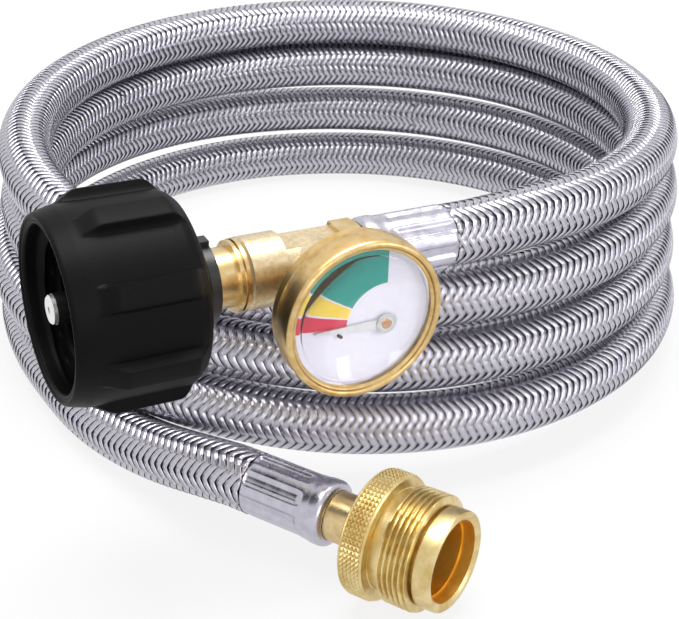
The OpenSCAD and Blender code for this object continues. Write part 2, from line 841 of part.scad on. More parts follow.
module hose_insert_outlet() {
    color("gold") at_outlet() difference() {
        union() {
            barbed_stem();
            bar(ferrule_len + 0.1, socket_end - 0.3, stem_r);
        }
        bar(-eps, socket_end + eps, insert_bore_d / 2);
        wire_ring(clip_x, stem_r - 0.05, 0.6);
        washer(o_ring_x - 0.75, o_ring_x + 0.75, stem_r + 1, stem_r - 1.15);
    }
}

module stem_o_ring() {
    color("black") at_outlet() wire_ring(o_ring_x, stem_r - 0.6, 0.55);
}

module swivel_clip() {
    color("silver") at_outlet() wire_ring(clip_x, stem_r - 0.05, 0.55);
}

module outlet_fitting() {
    chamfer = wheel_chamfer;
    thread_r = outlet_thread_d / 2;
    bore_r = outlet_bore_d / 2;
    color("gold") at_outlet() difference() {
        union() {
            taper(wheel_x, wheel_x + chamfer, wheel_r - chamfer, wheel_r);
            bar(wheel_x + chamfer, neck_x - chamfer, wheel_r);
            taper(neck_x - chamfer, neck_x, wheel_r, wheel_r - chamfer);
            bar(neck_x - eps, pilot_x, pilot_d / 2 + 0.2);
            taper(thread_x, thread_x + 0.8, thread_r - 0.8, thread_r);
            bar(thread_x + 0.8, pilot_x - 0.8, thread_r);
            taper(pilot_x - 0.8, pilot_x, thread_r, thread_r - 0.8);
            bar(pilot_x - eps, outlet_end - 1, pilot_d / 2);
            taper(outlet_end - 1, outlet_end, pilot_d / 2, pilot_d / 2 - 0.8);
        }
        bar(wheel_x - eps, socket_end, stem_r + running);
        bar(socket_end - 0.01, outlet_floor + eps, 2);
        wire_ring(clip_x, stem_r - 0.05, 0.7);
        bar(outlet_floor, outlet_floor + seal_len + eps, seal_r);
        bar(outlet_floor + seal_len, outlet_end + eps, bore_r);
        bar(outlet_end - 3.4, outlet_end + eps, bore_r + 0.5);
        taper(outlet_end - 0.6, outlet_end + 0.01, bore_r + 0.5, bore_r + 1.1);
    }
}

module outlet_seal() {
    color("#303030") at_outlet()
        washer(outlet_floor, outlet_floor + seal_len, seal_r, 2.8);
}

hose_top_turn();
hose_coil();
hose_outlet_run();
hose_tail_inlet();
ferrule_inlet();
hose_insert_inlet();
tee_body();
inlet_nipple();
check_poppet();
check_spring();
check_guide();
nose_sleeve();
nose_tip();
thermal_bushing();
coupling_nut();
gauge_socket();
gauge_case();
bourdon_tube();
movement_back_plate();
movement_front_plate();
movement_pillars();
movement_screws();
sector_gear();
movement_link();
pointer_arbor();
dial_plate();
pointer();
stop_pin();
dial_spacer();
gauge_lens();
bezel_ring();
hose_tail_outlet();
ferrule_outlet();
hose_insert_outlet();
stem_o_ring();
swivel_clip();
outlet_fitting();
outlet_seal();
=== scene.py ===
import bmesh
import bpy
import json
import math
import numpy as np
from mathutils import Matrix, Vector

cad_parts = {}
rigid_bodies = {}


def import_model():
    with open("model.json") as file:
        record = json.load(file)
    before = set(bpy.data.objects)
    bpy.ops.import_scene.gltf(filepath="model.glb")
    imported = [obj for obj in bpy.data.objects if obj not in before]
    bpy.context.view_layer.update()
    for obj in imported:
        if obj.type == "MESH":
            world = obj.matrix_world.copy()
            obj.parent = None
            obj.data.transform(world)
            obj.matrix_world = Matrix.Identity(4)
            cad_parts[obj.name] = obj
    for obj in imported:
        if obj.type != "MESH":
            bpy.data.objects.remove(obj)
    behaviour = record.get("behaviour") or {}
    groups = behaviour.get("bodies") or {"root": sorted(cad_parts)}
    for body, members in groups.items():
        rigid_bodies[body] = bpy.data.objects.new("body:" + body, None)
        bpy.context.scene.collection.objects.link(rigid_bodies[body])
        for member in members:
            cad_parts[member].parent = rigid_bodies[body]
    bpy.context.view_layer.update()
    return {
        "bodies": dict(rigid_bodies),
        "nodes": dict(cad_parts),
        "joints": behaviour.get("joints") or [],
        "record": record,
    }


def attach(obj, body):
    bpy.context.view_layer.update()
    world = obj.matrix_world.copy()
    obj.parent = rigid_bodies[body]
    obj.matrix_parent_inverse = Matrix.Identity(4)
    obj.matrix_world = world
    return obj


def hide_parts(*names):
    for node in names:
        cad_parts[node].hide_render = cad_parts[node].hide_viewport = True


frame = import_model()

# ---------- Studio ----------
# A pale card lies under the hose and reads as plain white. A wide softbox hangs
# overhead, and smaller ones stand at the front and at the right. The room is dark at eye
# level and pale overhead, so that the metals have something to reflect.

MM = 0.001  # the object's sizes are in millimetres, the lamps' and the floor's in metres


def srgb(hex_code):
    """An sRGB hex value as linear light, with full alpha."""
    channels = [int(hex_code[i:i + 2], 16) / 255 for i in (1, 3, 5)]
    linear = [c / 12.92 if c <= 0.04045 else ((c + 0.055) / 1.055) ** 2.4 for c in channels]
    return (*linear, 1.0)


def add(tree, kind, settings=None, **links):
    """A node with its settings. A number, colour or vector sets an input, and a socket is linked to it."""
    new = tree.nodes.new(kind)
    for name, value in (settings or {}).items():
        setattr(new, name, value)
    for name, value in links.items():
        key = int(name[1:]) if name[1:].isdigit() else name.replace("_", " ")
        socket = new.inputs[key]
        if isinstance(value, bpy.types.NodeSocket):
            tree.links.new(value, socket)
        else:
            socket.default_value = value
    return new


def blank_material(name):
    """A new material, and its node tree with nothing in it."""
    made = bpy.data.materials.new(name)
    made.use_nodes = True
    made.node_tree.nodes.clear()
    return made, made.node_tree


camera = bpy.data.objects.new("camera", bpy.data.cameras.new("camera"))
bpy.context.scene.collection.objects.link(camera)
camera_place = Vector((3.03, -246.91, 201.59))
camera_right = Vector((0.9986, -0.0508, 0.0151))
camera_up = Vector((0.0120, 0.4954, 0.8686))
# The three directions are squared up against each other, so that nothing is sheared
camera_back = camera_right.cross(camera_up).normalized()
camera_up = camera_back.cross(camera_right).normalized()
camera_right = camera_up.cross(camera_back)
camera_turn = Matrix((camera_right, camera_up, camera_back)).transposed().to_4x4()
camera.matrix_world = Matrix.Translation(camera_place * MM) @ camera_turn
camera.data.lens = 75.27
camera.data.sensor_width = 36
camera.data.shift_y = -0.0053
camera.data.clip_start = 0.01
bpy.context.scene.camera = camera
bpy.context.scene.view_settings.view_transform = "Standard"

room_strength = 0.78
world = bpy.data.worlds.new("studio")
bpy.context.scene.world = world
world.use_nodes = True
tree = world.node_tree
tree.nodes.clear()


def background_rays(tree):
    """1 for the rays that see the white background: the eye's, and those that metal and glass send on."""
    path = add(tree, "ShaderNodeLightPath")
    mirrored = add(tree, "ShaderNodeMath", {"operation": "MAXIMUM"}, _0=path.outputs["Is Camera Ray"],
                   _1=path.outputs["Is Glossy Ray"])
    return add(tree, "ShaderNodeMath", {"operation": "MAXIMUM"}, _0=mirrored.outputs[0],
               _1=path.outputs["Is Transmission Ray"]).outputs[0]


place = add(tree, "ShaderNodeTexCoord")
height = add(tree, "ShaderNodeSeparateXYZ", Vector=place.outputs["Generated"])
room = add(tree, "ShaderNodeValToRGB", Fac=height.outputs["Z"])
room.color_ramp.elements[0].position = 0.0
room.color_ramp.elements[0].color = srgb("#4A4956")
room.color_ramp.elements[1].position = 0.85
room.color_ramp.elements[1].color = srgb("#F4F4FA")
for stop, code in ((0.12, "#3A3946"), (0.35, "#A9A8B6")):
    room.color_ramp.elements.new(stop).color = srgb(code)
lit = add(tree, "ShaderNodeBackground", Color=room.outputs[0], Strength=room_strength)
seen = add(tree, "ShaderNodeBackground", Color=(1, 1, 1, 1), Strength=1.0)
mix = add(tree, "ShaderNodeMixShader", _0=background_rays(tree), _1=lit.outputs[0], _2=seen.outputs[0])
add(tree, "ShaderNodeOutputWorld", Surface=mix.outputs[0])


def softbox(name, place, aim, size, watts, colour):
    """A rectangular lamp that faces the point it is aimed at."""
    light = bpy.data.lights.new(name, "AREA")
    light.shape = "RECTANGLE"
    light.size, light.size_y = size
    light.energy = watts
    light.color = srgb(colour)[:3]
    box = bpy.data.objects.new(name, light)
    bpy.context.scene.collection.objects.link(box)
    place, aim = Vector(place), Vector(aim)
    box.matrix_world = Matrix.Translation(place) @ (place - aim).to_track_quat("Z", "Y").to_matrix().to_4x4()


hose_middle = (0.02, 0.08, 0.03)
softbox("softbox_overhead", (0.0, 0.12, 0.75), hose_middle, (0.62, 0.34), 7.0, "#FFFFFF")
softbox("softbox_front", (0.14, -0.72, 0.36), hose_middle, (0.35, 0.35), 1.3, "#FFFDF8")
softbox("softbox_right", (0.65, -0.25, 0.3), hose_middle, (0.2, 0.5), 1.4, "#F6F4FF")

# The floor glows white to the eye and in metal and glass, and is a pale card to the rest.
# A share of the card is left in the glow, which keeps the object's shadow.
floor_glow = 0.98
shadow_share = 0.14
floor_gap = 0.2  # millimetres, so that the floor and what lies on it don't share a plane
card, tree = blank_material("pale_card")
matt = add(tree, "ShaderNodeBsdfDiffuse", Color=srgb("#E9E9EC"))
glow = add(tree, "ShaderNodeEmission", Color=(1, 1, 1, 1), Strength=floor_glow)
part_lit = add(tree, "ShaderNodeMixShader", _0=shadow_share, _1=glow.outputs[0], _2=matt.outputs[0])
mix = add(tree, "ShaderNodeMixShader", _0=background_rays(tree), _1=matt.outputs[0], _2=part_lit.outputs[0])
add(tree, "ShaderNodeOutputMaterial", Surface=mix.outputs[0])
floor_mesh = bpy.data.meshes.new("floor")
floor_mesh.from_pydata([(-3, -3, 0), (3, -3, 0), (3, 3, 0), (-3, 3, 0)], [], [(0, 1, 2, 3)])
floor_mesh.materials.append(card)
floor = bpy.data.objects.new("floor", floor_mesh)
bpy.context.scene.collection.objects.link(floor)
floor.location.z = -floor_gap * MM

# ---------- Braided hose ----------
# One length of rubber gas hose under a woven jacket of stainless wire, 14 mm over
# the wires. Twelve flat bunches of wires wind each way round it, over two and under
# two, which shows as rows of slanted bunches along the hose.

coil_center = Vector((23.0, 111.9, 0.0))
coil_radii = [84.5, 83, 85, 83.5, 84, 85, 84.6, 84, 85.5, 86, 86.6, 88.8, 88.8, 88, 87.2, 86.2]
# Rises of the hose centre over a hose that lies on the table
coil_rises = [56, 50.3, 47, 45.2, 39.2, 36.2, 32.9, 31.1, 23.8, 20.4, 16.6, 17.9, 9, 4.3, 0, 0]
coil_start, coil_end, coil_step = -66, 1260, 13
outlet_run = [
    (-85.7, -14, 0), (-82.5, -28, 0), (-77.4, -42, 0), (-70.1, -56.1, 0),
    (-62.1, -69.7, 0), (-51.8, -81.2, 0.3), (-41.9, -90.8, 2.2), (-32, -99.2, 4.8),
]
hose_radius = 7.0
core_radius = 6.3
inlet_yaw, inlet_pitch = 24, 2
outlet_yaw, outlet_pitch = -37, 2
inlet_exit = Vector((18.6, -84.9, 62.3))
# The outlet's wheel rests on the table by its rim, which sets how high the hose ends
wheel_radius, wheel_rim = 14, 30.6
outlet_tilt = math.radians(outlet_pitch)
outlet_exit = Vector((
    -22.3, -106.8, wheel_radius * math.cos(outlet_tilt) - wheel_rim * math.sin(outlet_tilt),
))
straight_run = 9  # out of the inlet's ferrule
line_step = 3.0
curve_steps = 16  # from one route point to the next
ease_passes = 6


def heading(yaw, pitch):
    """The unit direction at an angle round from +X and an angle up, in degrees."""
    yaw, pitch = math.radians(yaw), math.radians(pitch)
    return Vector((math.cos(pitch) * math.cos(yaw), math.cos(pitch) * math.sin(yaw), math.sin(pitch)))


def smooth(knots, t):
    """A value at knot number t on the smooth curve that passes through every knot."""
    i = min(int(t), len(knots) - 2)
    f = t - i
    a, b, c, d = (knots[max(0, min(len(knots) - 1, i + k))] for k in (-1, 0, 1, 2))
    return 0.5 * (
        2 * b + (c - a) * f + (2 * a - 5 * b + 4 * c - d) * f * f + (3 * b - a - 3 * c + d) * f * f * f
    )


def coil_point(angle):
    """A point of the coil, from how far the hose has wound round it, in degrees."""
    t = (angle + 90) / 90
    r = smooth(coil_radii, t)
    turn = math.radians(angle)
    return Vector((r * math.cos(turn), r * math.sin(turn), hose_radius + max(0.0, smooth(coil_rises, t))))


route = [inlet_exit, inlet_exit - straight_run * heading(180 + inlet_yaw, inlet_pitch)]
route += [coil_point(angle) for angle in range(coil_start, coil_end + 1, coil_step)]
route += [Vector(p) + Vector((0, 0, hose_radius)) for p in outlet_run]
route += [outlet_exit]
# A curve through the route, in even steps, eased so that no joint in it shows
route_knots = np.array(route, dtype=float)
curve_places = np.arange((len(route) - 1) * curve_steps + 1) / curve_steps
fine = np.array([smooth(route_knots, t) for t in curve_places])


def even(points, step):
    """The same line in steps of equal length, and how long it is."""
    run = np.concatenate([[0], np.cumsum(np.linalg.norm(np.diff(points, axis=0), axis=1))])
    at = np.linspace(0, run[-1], int(round(run[-1] / step)) + 1)
    return np.column_stack([np.interp(at, run, points[:, k]) for k in range(3)]), run[-1]


fine, _ = even(fine, line_step)
inlet_way = np.array(-heading(180 + inlet_yaw, inlet_pitch))
outlet_way = np.array(-heading(outlet_yaw, outlet_pitch))
for _ in range(ease_passes):
    eased = fine.copy()
    eased[1:-1] = 0.25 * fine[:-2] + 0.5 * fine[1:-1] + 0.25 * fine[2:]
    # The first two steps at each end stay in line with the ferrule
    for k in (1, 2):
        eased[k] = fine[0] + k * line_step * inlet_way
        eased[-1 - k] = fine[-1] + k * line_step * outlet_way
    eased[1:-1, 2] = np.maximum(eased[1:-1, 2], hose_radius)
    fine = eased
fine, hose_length = even(fine, line_step)
hose_line = (fine + np.array(coil_center)) * MM
hose_length *= MM


def poly_curve(name, points, radius):
    """A round tube along the points, or a bare line where the radius is 0."""
    data = bpy.data.curves.new(name, "CURVE")
    data.dimensions = "3D"
    data.twist_mode = "Z_UP"
    data.bevel_depth = radius
    data.bevel_resolution = 5
    data.use_fill_caps = True
    spline = data.splines.new("POLY")
    spline.points.add(len(points) - 1)
    for point, place in zip(spline.points, points):
        point.co = (*place, 1)
    made = bpy.data.objects.new(name, data)
    bpy.context.scene.collection.objects.link(made)
    return made


hose_rubber = poly_curve("hose_rubber_core", hose_line, core_radius * MM)

# The jacket: a long flat tube for each bunch of wires, wound round the hose's line. A bunch
# lifts to cross over others, and the firmness squares off the wave that it makes.
bunches = 12  # each way round
bunch_width = 1.42
bunch_thickness = 0.3
braid_lead = 24.0
float_lift = 0.14
jacket_radius = 6.72
weave_firmness = 1.7
section_length = 0.5


def braid_tree():
    """Winds straight bunches, which start as tubes of unit size along Z, round the hose."""
    group = bpy.data.node_groups.new("wire_bunch_round_hose", "GeometryNodeTree")
    face = group.interface
    face.new_socket("Geometry", in_out="INPUT", socket_type="NodeSocketGeometry")
    for name in ("Start", "Length", "Hose Radius", "Lead", "Width", "Thickness", "Lift"):
        face.new_socket(name, in_out="INPUT", socket_type="NodeSocketFloat")
    for name in ("Bunches", "Sections"):
        face.new_socket(name, in_out="INPUT", socket_type="NodeSocketInt")
    face.new_socket("Wire", in_out="INPUT", socket_type="NodeSocketMaterial")
    face.new_socket("Geometry", in_out="OUTPUT", socket_type="NodeSocketGeometry")
    entry = add(group, "NodeGroupInput").outputs

    tube = add(group, "GeometryNodeMeshCylinder", {"fill_type": "NGON"}, Vertices=4,
               Side_Segments=entry["Sections"], Radius=1.0, Depth=1.0)
    # A square tube turned flat side up, so that a bunch has a flat top
    flat = add(group, "GeometryNodeTransform", Geometry=tube.outputs[0], Rotation=(0, 0, math.pi / 4),
               Scale=(math.sqrt(2), math.sqrt(2), 1.0))
    total = add(group, "ShaderNodeMath", {"operation": "MULTIPLY"}, _0=entry["Bunches"], _1=2.0)
    spots = add(group, "GeometryNodePoints", Count=total.outputs[0], Position=(0, 0, 0))
    order = add(group, "GeometryNodeInputIndex").outputs[0]
    kept = add(group, "GeometryNodeStoreNamedAttribute", {"data_type": "FLOAT", "domain": "POINT"},
               Geometry=spots.outputs[0], Name="bunch", Value=order)
    copies = add(group, "GeometryNodeInstanceOnPoints", Points=kept.outputs[0], Instance=flat.outputs[0])
    real = add(group, "GeometryNodeRealizeInstances", Geometry=copies.outputs[0])
    bunch = add(group, "GeometryNodeInputNamedAttribute", {"data_type": "FLOAT"}, Name="bunch").outputs[0]
    here = add(group, "ShaderNodeSeparateXYZ", Vector=add(group, "GeometryNodeInputPosition").outputs[0])
    known = {item.name: item for item in entry if item.name}
    known.update({"bunch": bunch, **{axis: here.outputs[axis] for axis in "XYZ"}})
    for result, operation, *terms in (
        # Half the bunches wind one way and half the other
        ("last of one way", "SUBTRACT", "Bunches", 0.5),
        ("side", "GREATER_THAN", "bunch", "last of one way"),
        ("flip", "MULTIPLY", "side", 2.0),
        ("sense", "SUBTRACT", 1.0, "flip"),
        ("skipped", "MULTIPLY", "side", "Bunches"),
        ("number", "SUBTRACT", "bunch", "skipped"),
        # How far along the hose a point lies, and so how far its bunch has wound
        ("share", "ADD", "Z", 0.5),
        ("along", "MULTIPLY_ADD", "share", "Length", "Start"),
        ("leads", "DIVIDE", "along", "Lead"),
        ("wound", "MULTIPLY", "sense", "leads"),
        ("head start", "DIVIDE", "number", "Bunches"),
        ("turns", "ADD", "wound", "head start"),
        ("middle", "MULTIPLY", "turns", math.tau),
        # The width of a bunch runs round the hose and a little along it, square to its own path
        ("girth", "MULTIPLY", "Hose Radius", math.tau),
        ("slope", "DIVIDE", "girth", "Lead"),
        ("slope squared", "MULTIPLY", "slope", "slope"),
        ("path squared", "ADD", 1.0, "slope squared"),
        ("path", "SQRT", "path squared"),
        ("half width", "MULTIPLY", "Width", 0.5),
        ("across", "MULTIPLY", "X", "half width"),
        ("across round", "DIVIDE", "across", "path"),
        ("swing", "DIVIDE", "across round", "Hose Radius"),
        ("angle", "ADD", "middle", "swing"),
        ("lean", "DIVIDE", "slope", "path"),
        ("across along", "MULTIPLY", "across", "lean"),
        ("against", "MULTIPLY", "sense", -1.0),
        ("shift", "MULTIPLY", "across along", "against"),
        ("spot", "ADD", "along", "shift"),
        # Over two and under two: the height follows the angle round the hose
        ("crossings", "DIVIDE", "Bunches", 2.0),
        ("wave angle", "MULTIPLY", "middle", "crossings"),
        ("wave", "COSINE", "wave angle"),
        ("steep wave", "MULTIPLY", "wave", weave_firmness),
        ("not too low", "MAXIMUM", "steep wave", -1.0),
        ("firm wave", "MINIMUM", "not too low", 1.0),
        ("over or under", "MULTIPLY", "firm wave", "sense"),
        ("lift", "MULTIPLY", "over or under", "Lift"),
        ("half thickness", "MULTIPLY", "Thickness", 0.5),
        ("crown", "MULTIPLY", "Y", "half thickness"),
        ("lifted", "ADD", "Hose Radius", "lift"),
        ("reach", "ADD", "lifted", "crown"),
        ("cosine", "COSINE", "angle"),
        ("sine", "SINE", "angle"),
        ("weave across", "DIVIDE", "across", "Width"),
    ):
        sockets = {f"_{k}": known.get(term, term) for k, term in enumerate(terms)}
        known[result] = add(group, "ShaderNodeMath", {"operation": operation}, **sockets).outputs[0]
    curve = add(group, "GeometryNodeSampleCurve",
                {"mode": "LENGTH", "use_all_curves": True, "data_type": "FLOAT"},
                Curves=entry["Geometry"], Length=known["spot"]).outputs
    known["beside"] = add(group, "ShaderNodeVectorMath", {"operation": "CROSS_PRODUCT"},
                          _0=curve["Tangent"], _1=curve["Normal"]).outputs[0]
    upward, sideways = (
        add(group, "ShaderNodeVectorMath", {"operation": "SCALE"}, _0=way, Scale=known[part]).outputs[0]
        for way, part in ((curve["Normal"], "cosine"), (known["beside"], "sine"))
    )
    outward = add(group, "ShaderNodeVectorMath", {"operation": "ADD"}, _0=upward, _1=sideways)
    arm = add(group, "ShaderNodeVectorMath", {"operation": "SCALE"}, _0=outward.outputs[0],
              Scale=known["reach"])
    target = add(group, "ShaderNodeVectorMath", {"operation": "ADD"}, _0=curve["Position"],
                 _1=arm.outputs[0])
    bent = add(group, "GeometryNodeSetPosition", Geometry=real.outputs[0], Position=target.outputs[0])
    weave = add(group, "ShaderNodeCombineXYZ", X=known["weave across"], Y=known["along"], Z=0.0).outputs[0]
    mapped = add(group, "GeometryNodeStoreNamedAttribute", {"data_type": "FLOAT2", "domain": "POINT"},
                 Geometry=real.outputs[0], Name="weave", Value=weave)
    group.links.new(mapped.outputs[0], bent.inputs["Geometry"])
    soft = add(group, "GeometryNodeSetShadeSmooth", Geometry=bent.outputs[0])
    coated = add(group, "GeometryNodeSetMaterial", Geometry=soft.outputs[0], Material=entry["Wire"])
    leave = add(group, "NodeGroupOutput")
    group.links.new(coated.outputs[0], leave.inputs[0])
    return group


# Stainless steel wire, drawn bright: IOR left as it is, metallic 1, roughness 0.25.
# The colour paints shade, near black, into the grooves between the wires and between the bunches,
# and is pale steel on the wires' crowns. It gives sharp pale glints and a lilac cast in shade.
wire, tree = blank_material("drawn_stainless_wire")
weave = add(tree, "ShaderNodeAttribute", {"attribute_name": "weave"})
split = add(tree, "ShaderNodeSeparateXYZ", Vector=weave.outputs["Vector"])
wires_a_bunch = 5
stripe = add(tree, "ShaderNodeMath", {"operation": "MULTIPLY"}, _0=split.outputs["X"],
             _1=math.tau * wires_a_bunch)
ridge = add(tree, "ShaderNodeMath", {"operation": "COSINE"}, _0=stripe.outputs[0])
level = add(tree, "ShaderNodeMapRange", Value=ridge.outputs[0], _1=-1.0, _2=1.0, _3=0.0, _4=1.0)
# The ramp's dark end is painted shade in the grooves between the wires, and its pale end is the steel
tone = add(tree, "ShaderNodeValToRGB", Fac=level.outputs[0])
tone.color_ramp.elements[0].color = srgb("#3A3842")
tone.color_ramp.elements[0].position = 0.12
tone.color_ramp.elements[1].color = srgb("#E6E4EE")
tone.color_ramp.elements[1].position = 0.5
bump = add(tree, "ShaderNodeBump", Height=level.outputs[0], Strength=0.35, Distance=0.1 * MM)
steel = add(tree, "ShaderNodeBsdfPrincipled", Base_Color=tone.outputs[0], Metallic=1.0, Roughness=0.25,
            Normal=bump.outputs[0])
add(tree, "ShaderNodeOutputMaterial", Surface=steel.outputs[0])


def per_mm(count):
    """A pattern's scale, from how many of its grains or lines lie in a millimetre."""
    return count / MM


# Nitrile hose, extruded: black and matt, it only shows as dots between the wires
rubber, tree = blank_material("extruded_nitrile")
place = add(tree, "ShaderNodeTexCoord")
grain = add(tree, "ShaderNodeTexNoise", Vector=place.outputs["Object"], Scale=per_mm(2.0), Detail=2.0)
tone = add(tree, "ShaderNodeValToRGB", Fac=grain.outputs["Fac"])
tone.color_ramp.elements[0].color = srgb("#08080A")
tone.color_ramp.elements[1].color = srgb("#18181C")
surface = add(tree, "ShaderNodeBsdfPrincipled", Base_Color=tone.outputs[0], Roughness=0.7)
add(tree, "ShaderNodeOutputMaterial", Surface=surface.outputs[0])

hose_rubber.data.materials.append(rubber)
group = braid_tree()
inputs = {item.name: item.identifier for item in group.interface.items_tree if item.in_out == "INPUT"}
stretches = 5
for k in range(stretches):
    carrier = poly_curve(f"jacket_line_{k}", hose_line, 0.0)
    node_mod = carrier.modifiers.new("braid", "NODES")
    node_mod.node_group = group
    stretch = hose_length / stretches
    sections = int(stretch / (section_length * MM))
    for name, value in (
        ("Start", k * stretch), ("Length", stretch), ("Hose Radius", jacket_radius * MM),
        ("Lead", braid_lead * MM), ("Width", bunch_width * MM), ("Thickness", bunch_thickness * MM),
        ("Lift", float_lift * MM), ("Bunches", bunches), ("Sections", sections), ("Wire", wire),
    ):
        node_mod[inputs[name]] = value
    solid = bpy.data.meshes.new_from_object(carrier.evaluated_get(bpy.context.evaluated_depsgraph_get()))
    solid.name = f"wire_jacket_{k + 1}"
    bpy.data.objects.remove(carrier)
    piece = bpy.data.objects.new(f"wire_jacket_{k + 1}", solid)
    bpy.context.scene.collection.objects.link(piece)
    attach(piece, "hose")
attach(hose_rubber, "hose")
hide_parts("hose_coil", "hose_top_turn", "hose_outlet_run")

# ---------- Crimped hose ends ----------
# A drawn steel ferrule holds each end of the hose on its barbed brass insert. A press
# squeezed it between eight jaws, which left rounded flutes with ridges between them.

ferrule_length, ferrule_radius, ferrule_around = 21.0, 7.12, 192
flutes, flute_depth, flute_length = 8, 0.75, 16.0
inlet_frame = (Matrix.Translation(coil_center + inlet_exit)
               @ Matrix.Rotation(math.radians(180 + inlet_yaw), 4, "Z")
               @ Matrix.Rotation(math.radians(-inlet_pitch), 4, "Y"))
outlet_frame = (Matrix.Translation(coil_center + outlet_exit)
                @ Matrix.Rotation(math.radians(outlet_yaw), 4, "Z")
                @ Matrix.Rotation(math.radians(-outlet_pitch), 4, "Y"))


def turned_piece(name, frame, rows, around, material, body, sharp=32):
    """Sweeps rows of (place, radius or radii) round the frame's X axis and closes them into a solid."""
    angles = np.linspace(0, math.tau, around, endpoint=False)
    grid = []
    for place, radius in rows:
        radii = np.broadcast_to(radius, (around,))
        sideways, upward = -radii * np.sin(angles), radii * np.cos(angles)
        grid.append(np.column_stack([np.full(around, place), sideways, upward]))
    points = np.concatenate(grid)
    turn = np.array(frame)
    points = (points @ turn[:3, :3].T + turn[:3, 3]) * MM
    faces = []
    for row in range(len(rows)):
        here, there = row * around, (row + 1) % len(rows) * around
        for k in range(around):
            beside = (k + 1) % around
            faces.append((here + k, there + k, there + beside, here + beside))
    mesh = bpy.data.meshes.new(name)
    mesh.from_pydata(points.tolist(), [], faces)
    work = bmesh.new()
    work.from_mesh(mesh)
    bmesh.ops.remove_doubles(work, verts=work.verts, dist=1e-7)
    bmesh.ops.recalc_face_normals(work, faces=work.faces)
    work.to_mesh(mesh)
    work.free()
    mesh.shade_smooth()
    mesh.set_sharp_from_angle(angle=math.radians(sharp))
    mesh.materials.append(material)
    piece = bpy.data.objects.new(name, mesh)
    bpy.context.scene.collection.objects.link(piece)
    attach(piece, body)
    return piece


def eased_step(low, high, value):
    """0 at low and 1 at high, with a soft start and end. Low may be the greater."""
    f = np.clip((np.asarray(value, dtype=float) - low) / (high - low), 0, 1)
    return f * f * (3 - 2 * f)


def ferrule_rows(around):
    """From the mouth round the hose, along the flutes and over the rolled end, back into the bore."""
    turns = np.linspace(0, math.tau, around, endpoint=False)
    jaws = eased_step(-0.55, 0.75, np.cos(flutes * turns))
    rows = [(0.0, 6.1), (0.0, 6.75)]
    for place in np.linspace(0.15, flute_length, 56):
        plain = ferrule_radius - 0.25 * eased_step(0.9, 0.0, place)
        pressed = eased_step(0.0, 0.8, place) * eased_step(15.8, 13.6, place)
        rows.append((place, plain - flute_depth * jaws * pressed))
    rolled_end = [
        (4.3, 7.15), (3.7, 7.3), (3.1, 7.4), (1.7, 7.4), (1.1, 7.33), (0.6, 7.1), (0.25, 6.7),
        (0.05, 6.2), (0.0, 5.7), (0.1, 5.2), (0.4, 4.85), (1.6, 4.8), (1.7, 5.9),
    ]
    return rows + [(ferrule_length - back, radius) for back, radius in rolled_end]


# Low-carbon steel, deep drawn and chromium plated: metallic 1, roughness about 0.28.
# It gives long soft streaks of light down the flutes, with a lilac cast between them.
chromed_steel, tree = blank_material("chromed_drawn_steel")
place = add(tree, "ShaderNodeTexCoord")
smear = add(tree, "ShaderNodeTexNoise", Vector=place.outputs["Object"], Scale=per_mm(0.42), Detail=4.0)
tone = add(tree, "ShaderNodeValToRGB", Fac=smear.outputs["Fac"])
tone.color_ramp.elements[0].color = srgb("#A6A3B0")
tone.color_ramp.elements[1].color = srgb("#D4D2DD")
haze = add(tree, "ShaderNodeMapRange", Value=smear.outputs["Fac"], _1=0.3, _2=0.7, _3=0.22, _4=0.34)
dents = add(tree, "ShaderNodeBump", Height=smear.outputs["Fac"], Strength=0.06, Distance=0.2 * MM)
surface = add(tree, "ShaderNodeBsdfPrincipled", Base_Color=tone.outputs[0], Metallic=1.0,
              Roughness=haze.outputs[0], Normal=dents.outputs[0])
add(tree, "ShaderNodeOutputMaterial", Surface=surface.outputs[0])

for end, end_frame in (("inlet", inlet_frame), ("outlet", outlet_frame)):
    made = turned_piece(f"crimped_ferrule_{end}", end_frame, ferrule_rows(ferrule_around), ferrule_around,
                        chromed_steel, "hose", 50)
    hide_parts(f"ferrule_{end}")


def cad_finish(material, *nodes):
    """Gives CAD nodes, whose shapes stay, the material of the real piece."""
    for node in nodes:
        piece = frame["nodes"][node]
        piece.data.materials.clear()
        piece.data.materials.append(material)


cad_finish(rubber, "hose_tail_inlet", "hose_tail_outlet")

# ---------- Tee, inserts and nipple ----------
# The tee is forged in brass and bored through; the inserts and the nipple are turned
# from brass bar and screwed and brazed into it. Its gauge branch points at the reader.

inlet_axis = tuple(inlet_frame.to_3x3() @ Vector((1, 0, 0)))
outlet_axis = tuple(outlet_frame.to_3x3() @ Vector((1, 0, 0)))


